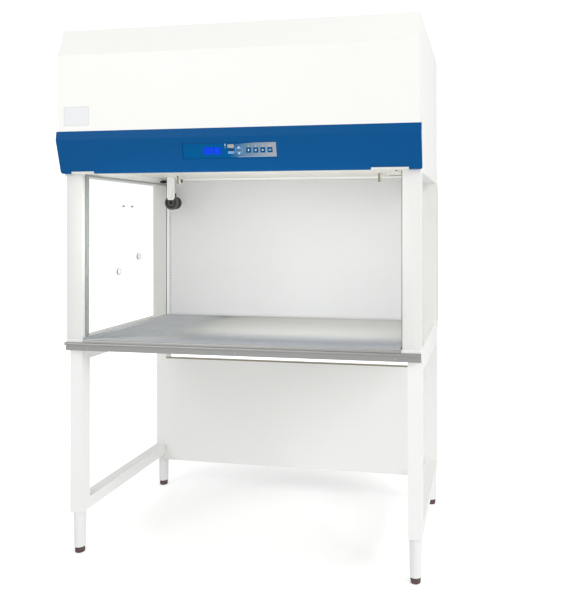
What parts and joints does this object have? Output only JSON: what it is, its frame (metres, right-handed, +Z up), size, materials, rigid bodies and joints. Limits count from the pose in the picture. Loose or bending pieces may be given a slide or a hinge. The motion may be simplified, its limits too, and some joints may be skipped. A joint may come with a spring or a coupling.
{
  "type": "laminar flow hood",
  "caption": "Clean bench with a fan header, blue control fascia, open glass-sided work zone, perforated rear diffuser and steel worktop, on a telescopic four-leg stand.",
  "frame": {"origin": "centre of the footprint, on the floor", "axes": "+X to the right as the operator faces the hood, +Y to the back, +Z up"},
  "size_m": [1.35, 0.828, 1.975],
  "materials": {
    "white_paint": "white powder coat, fine satin",
    "base_paint": "white powder coat, fine satin",
    "blue_paint": "blue powder coat, satin",
    "leg_paint": "light grey powder coat",
    "ceiling_paint": "warm white enamel",
    "diffuser_paint": "white enamel on perforated sheet",
    "stainless": "brushed stainless steel",
    "zinc_steel": "zinc-plated steel",
    "galvanised_sheet": "galvanised sheet",
    "aluminium_profile": "mill-finish aluminium",
    "motor_enamel": "dark enamel on cast housing",
    "clear_glass": "clear float glass, green at the edges",
    "lamp_glass": "phosphor-coated tube",
    "grey_plastic": "moulded grey plastic",
    "black_plastic": "moulded black plastic",
    "white_plastic": "moulded white plastic",
    "valve_plastic": "moulded dark grey plastic",
    "foot_rubber": "dark red-brown rubber",
    "bush_rubber": "black rubber",
    "filter_paper": "pleated glass-fibre paper",
    "pad_fibre": "non-woven polyester pad",
    "overlay_film": "printed polyester overlay",
    "display_lens": "backlit blue display lens",
    "key_blue": "dark blue key with white mark",
    "key_arrow": "light blue arrow key",
    "led_lens": "coloured indicator lens",
    "circuit_board": "glass-epoxy board"
  },
  "bodies": {
    "cabinet": {"stand_frame_left": "white_paint", "stand_frame_right": "white_paint", "modesty_panel": "white_paint", "leg_clamp_bolts": "zinc_steel", "base_pan": "base_paint", "worktop_tray": "stainless", "front_apron": "stainless", "cover_screws": "zinc_steel", "front_post_left": "white_paint", "front_post_right": "white_paint", "side_glass_left": "clear_glass", "side_glass_right": "clear_glass", "glass_port_grommets": "grey_plastic", "glass_studs": "black_plastic", "rear_columns": "white_paint", "rear_cover": "white_paint", "rear_diffuser": "diffuser_paint", "filter_frame": "aluminium_profile", "filter_media": "filter_paper", "header_shell": "white_paint", "front_cover": "white_paint", "fascia": "blue_paint", "fascia_clips": "zinc_steel", "ceiling_panel": "ceiling_paint", "light_trough": "white_paint", "light_tube": "lamp_glass", "light_holders": "white_plastic", "lampholders": "white_plastic", "service_hanger": "white_paint", "service_valve_body": "valve_plastic", "cable_bush": "bush_rubber", "wiring_cover": "ceiling_paint", "blower_deck": "galvanised_sheet", "blower_housing": "galvanised_sheet", "blower_motor": "motor_enamel", "prefilter_frame": "galvanised_sheet", "prefilter_pad": "pad_fibre", "control_plate": "overlay_film", "display_window": "display_lens", "indicator_lights": "led_lens", "control_board": "circuit_board", "cable_gland": "black_plastic"},
    "blower_wheel": {"blower_wheel": "aluminium_profile"},
    "valve_knob": {"service_valve_knob": "valve_plastic"},
    "rotor_left": {"lampholder_rotor_left": "grey_plastic"},
    "rotor_right": {"lampholder_rotor_right": "grey_plastic"},
    "leg_front_left": {"inner_leg_front_left": "leg_paint"},
    "foot_front_left": {"foot_front_left": "foot_rubber"},
    "leg_front_right": {"inner_leg_front_right": "leg_paint"},
    "foot_front_right": {"foot_front_right": "foot_rubber"},
    "leg_rear_left": {"inner_leg_rear_left": "leg_paint"},
    "foot_rear_left": {"foot_rear_left": "foot_rubber"},
    "leg_rear_right": {"inner_leg_rear_right": "leg_paint"},
    "foot_rear_right": {"foot_rear_right": "foot_rubber"},
    "key_up": {"key_up": "key_arrow"},
    "key_down": {"key_down": "key_arrow"},
    "key_light": {"key_light": "key_blue"},
    "key_fan": {"key_fan": "key_blue"},
    "key_lamp": {"key_lamp": "key_blue"},
    "key_mute": {"key_mute": "key_blue"}
  },
  "joints": [
    {"name": "leg_front_left_height", "type": "slide", "parent": "cabinet", "child": "leg_front_left", "axis": [0, 0, -1], "range_m": [-0.1, 0.2]},
    {"name": "foot_front_left_turn", "type": "hinge", "parent": "leg_front_left", "child": "foot_front_left", "pos_m": [-0.645, -0.312, 0.03], "axis": [0, 0, 1], "continuous": true},
    {"name": "leg_front_right_height", "type": "slide", "parent": "cabinet", "child": "leg_front_right", "axis": [0, 0, -1], "range_m": [-0.1, 0.2]},
    {"name": "foot_front_right_turn", "type": "hinge", "parent": "leg_front_right", "child": "foot_front_right", "pos_m": [0.645, -0.312, 0.03], "axis": [0, 0, 1], "continuous": true},
    {"name": "leg_rear_left_height", "type": "slide", "parent": "cabinet", "child": "leg_rear_left", "axis": [0, 0, -1], "range_m": [-0.1, 0.2]},
    {"name": "foot_rear_left_turn", "type": "hinge", "parent": "leg_rear_left", "child": "foot_rear_left", "pos_m": [-0.645, 0.337, 0.03], "axis": [0, 0, 1], "continuous": true},
    {"name": "leg_rear_right_height", "type": "slide", "parent": "cabinet", "child": "leg_rear_right", "axis": [0, 0, -1], "range_m": [-0.1, 0.2]},
    {"name": "foot_rear_right_turn", "type": "hinge", "parent": "leg_rear_right", "child": "foot_rear_right", "pos_m": [0.645, 0.337, 0.03], "axis": [0, 0, 1], "continuous": true},
    {"name": "blower_spin", "type": "hinge", "parent": "cabinet", "child": "blower_wheel", "pos_m": [0, -0.04, 1.719], "axis": [1, 0, 0], "continuous": true},
    {"name": "valve_turn", "type": "hinge", "parent": "cabinet", "child": "valve_knob", "pos_m": [-0.523, 0.18, 1.348], "axis": [0, 1, 0], "range_deg": [0, 270]},
    {"name": "lamp_rotor_left_turn", "type": "hinge", "parent": "cabinet", "child": "rotor_left", "pos_m": [-0.4465, 0.118, 1.442], "axis": [1, 0, 0], "range_deg": [0, 90]},
    {"name": "lamp_rotor_right_turn", "type": "hinge", "parent": "cabinet", "child": "rotor_right", "pos_m": [0.4465, 0.118, 1.442], "axis": [1, 0, 0], "range_deg": [0, 90]},
    {"name": "key_up_press", "type": "slide", "parent": "cabinet", "child": "key_up", "axis": [0, 0.9687, 0.2482], "range_m": [0, 0.0006], "stiffness_N_per_m": 2000, "springref_m": -0.0005},
    {"name": "key_down_press", "type": "slide", "parent": "cabinet", "child": "key_down", "axis": [0, 0.9687, 0.2482], "range_m": [0, 0.0006], "stiffness_N_per_m": 2000, "springref_m": -0.0005},
    {"name": "key_light_press", "type": "slide", "parent": "cabinet", "child": "key_light", "axis": [0, 0.9687, 0.2482], "range_m": [0, 0.0006], "stiffness_N_per_m": 2000, "springref_m": -0.0005},
    {"name": "key_fan_press", "type": "slide", "parent": "cabinet", "child": "key_fan", "axis": [0, 0.9687, 0.2482], "range_m": [0, 0.0006], "stiffness_N_per_m": 2000, "springref_m": -0.0005},
    {"name": "key_lamp_press", "type": "slide", "parent": "cabinet", "child": "key_lamp", "axis": [0, 0.9687, 0.2482], "range_m": [0, 0.0006], "stiffness_N_per_m": 2000, "springref_m": -0.0005},
    {"name": "key_mute_press", "type": "slide", "parent": "cabinet", "child": "key_mute", "axis": [0, 0.9687, 0.2482], "range_m": [0, 0.0006], "stiffness_N_per_m": 2000, "springref_m": -0.0005}
  ]
}
